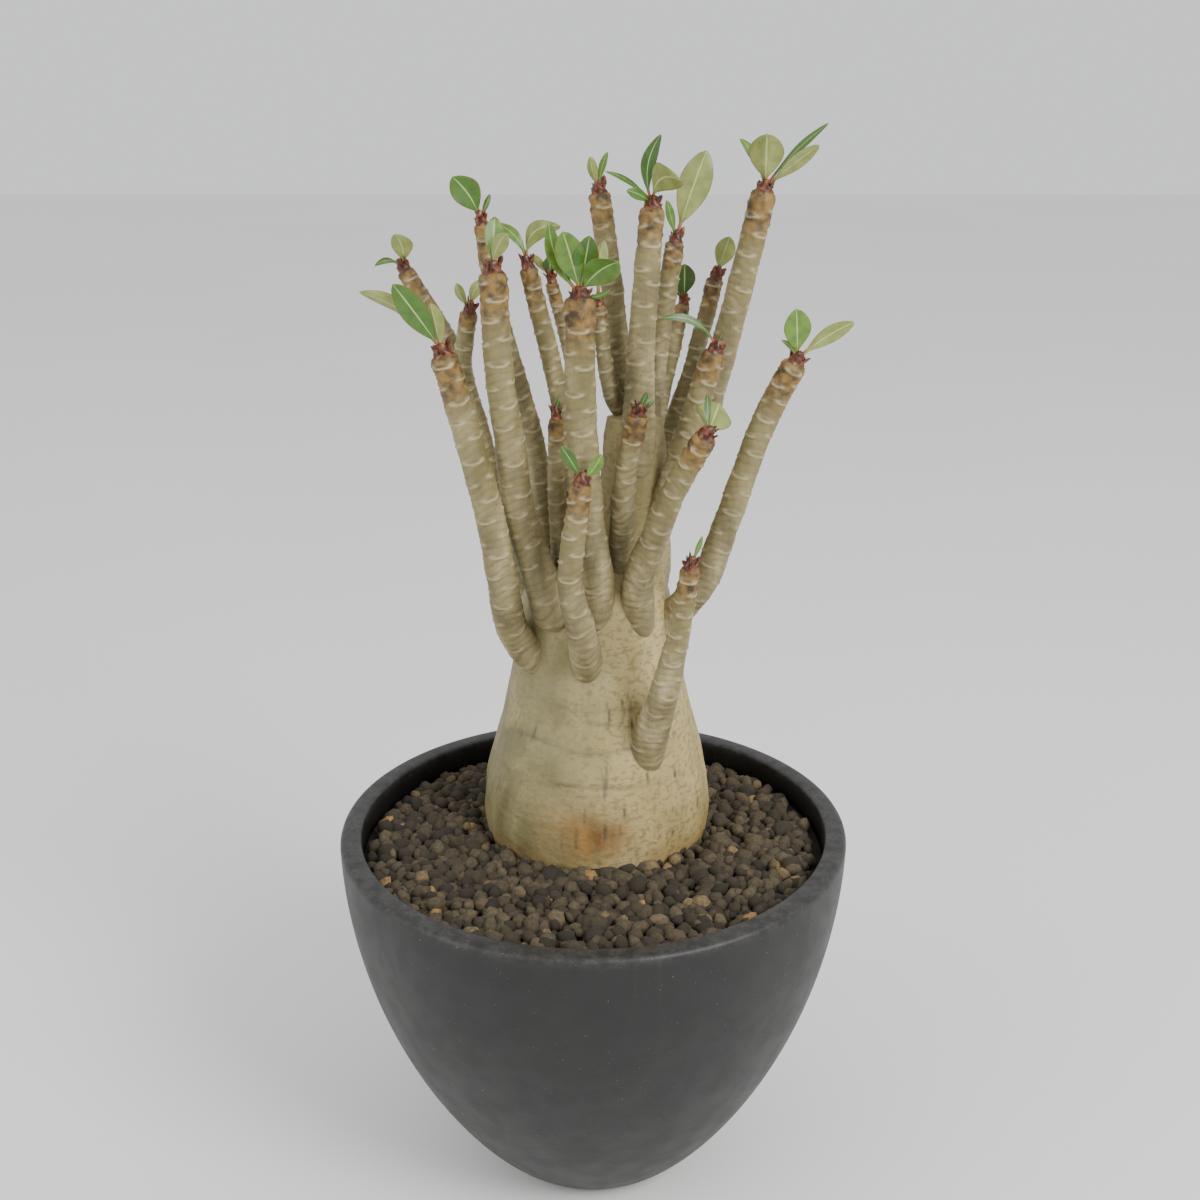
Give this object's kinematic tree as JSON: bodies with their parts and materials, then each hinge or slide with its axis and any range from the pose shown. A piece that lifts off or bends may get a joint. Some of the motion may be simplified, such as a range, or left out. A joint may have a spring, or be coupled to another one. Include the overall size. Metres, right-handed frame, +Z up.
{
  "type": "potted desert rose adenium",
  "caption": "Potted desert rose with a swollen pale caudex, upright forked stems ending in small leaf tufts, standing in grit in a tapered round bowl pot.",
  "frame": {"origin": "middle of the pot's foot, on the surface it stands on", "axes": "+Z up along the pot's axis, -Y towards the side the plant is seen from, +X to its right"},
  "size_m": [0.15, 0.15, 0.3111],
  "materials": {
    "pot_plastic": "matte, dusty",
    "grit": "rough loose grains",
    "caudex_bark": "smooth pale bark",
    "stem_bark": "satin bark with leaf scars",
    "leaf_green": "satin leaf"
  },
  "bodies": {
    "root": {"caudex": "caudex_bark", "leaves_centre_rear": "leaf_green", "leaves_centre_tall": "leaf_green", "leaves_far_rear": "leaf_green", "leaves_far_right": "leaf_green", "leaves_front_centre": "leaf_green", "leaves_front_left": "leaf_green", "leaves_left_fork": "leaf_green", "leaves_left_front": "leaf_green", "leaves_left_rear": "leaf_green", "leaves_low_centre": "leaf_green", "leaves_low_left": "leaf_green", "leaves_low_mid": "leaf_green", "leaves_low_right": "leaf_green", "leaves_mid_left": "leaf_green", "leaves_rear_centre": "leaf_green", "leaves_rear_dark": "leaf_green", "leaves_rear_left": "leaf_green", "leaves_rear_short": "leaf_green", "leaves_right_front": "leaf_green", "leaves_right_mid": "leaf_green", "leaves_right_rear": "leaf_green", "leaves_right_tall": "leaf_green", "pot": "pot_plastic", "soil": "grit", "stem_centre_rear": "stem_bark", "stem_centre_tall": "stem_bark", "stem_far_rear": "stem_bark", "stem_far_right": "stem_bark", "stem_front_centre": "stem_bark", "stem_front_left": "stem_bark", "stem_left_fork": "stem_bark", "stem_left_front": "stem_bark", "stem_left_rear": "stem_bark", "stem_low_centre": "stem_bark", "stem_low_left": "stem_bark", "stem_low_mid": "stem_bark", "stem_low_right": "stem_bark", "stem_mid_left": "stem_bark", "stem_rear_centre": "stem_bark", "stem_rear_dark": "stem_bark", "stem_rear_left": "stem_bark", "stem_rear_short": "stem_bark", "stem_right_front": "stem_bark", "stem_right_mid": "stem_bark", "stem_right_rear": "stem_bark", "stem_right_tall": "stem_bark"}
  },
  "joints": []
}
